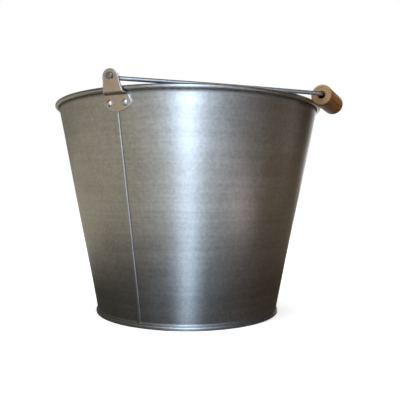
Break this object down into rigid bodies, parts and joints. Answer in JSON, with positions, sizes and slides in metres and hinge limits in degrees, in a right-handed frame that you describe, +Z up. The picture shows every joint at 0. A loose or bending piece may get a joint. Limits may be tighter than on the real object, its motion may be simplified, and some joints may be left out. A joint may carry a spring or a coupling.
{
  "type": "feed bucket",
  "caption": "Tapered galvanised steel feed bucket with a rolled rim, two riveted ears and a wire bail that swings over and carries a turning wooden grip.",
  "frame": {"origin": "centre of the base, on the plane the foot stands on", "axes": "+Z up along the pail's axis; +Y towards the back ear, -Y towards the ear over the side seam; +X towards the side the bail lies on at rest"},
  "size_m": [0.3213, 0.3192, 0.2451],
  "materials": {
    "galvanised_sheet": "hot-dip galvanised, satin and finely mottled, with faint streaks round the body",
    "ear_plate": "pressed plate, galvanised, dull with bright rubbed edges",
    "rivet": "domed, bright zinc",
    "steel_wire": "drawn wire, galvanised, semi-bright",
    "turned_wood": "turned hardwood, thin clear varnish on the side, bare end grain"
  },
  "bodies": {
    "pail": {"body_sheet": "galvanised_sheet", "rim_wire": "steel_wire", "base_pan": "galvanised_sheet", "ear_front": "ear_plate", "ear_back": "ear_plate", "rivet_front_left": "rivet", "rivet_front_right": "rivet", "rivet_back_left": "rivet", "rivet_back_right": "rivet"},
    "bail": {"bail_wire": "steel_wire"},
    "grip": {"wooden_grip": "turned_wood"}
  },
  "joints": [
    {"name": "bail_swing", "type": "hinge", "parent": "pail", "child": "bail", "pos_m": [0, 0, 0.2382], "axis": [0, -1, 0], "range_deg": [0, 184.11]},
    {"name": "grip_spin", "type": "hinge", "parent": "bail", "child": "grip", "pos_m": [0.16086, 0, 0.23143], "axis": [0, 1, 0], "continuous": true}
  ]
}
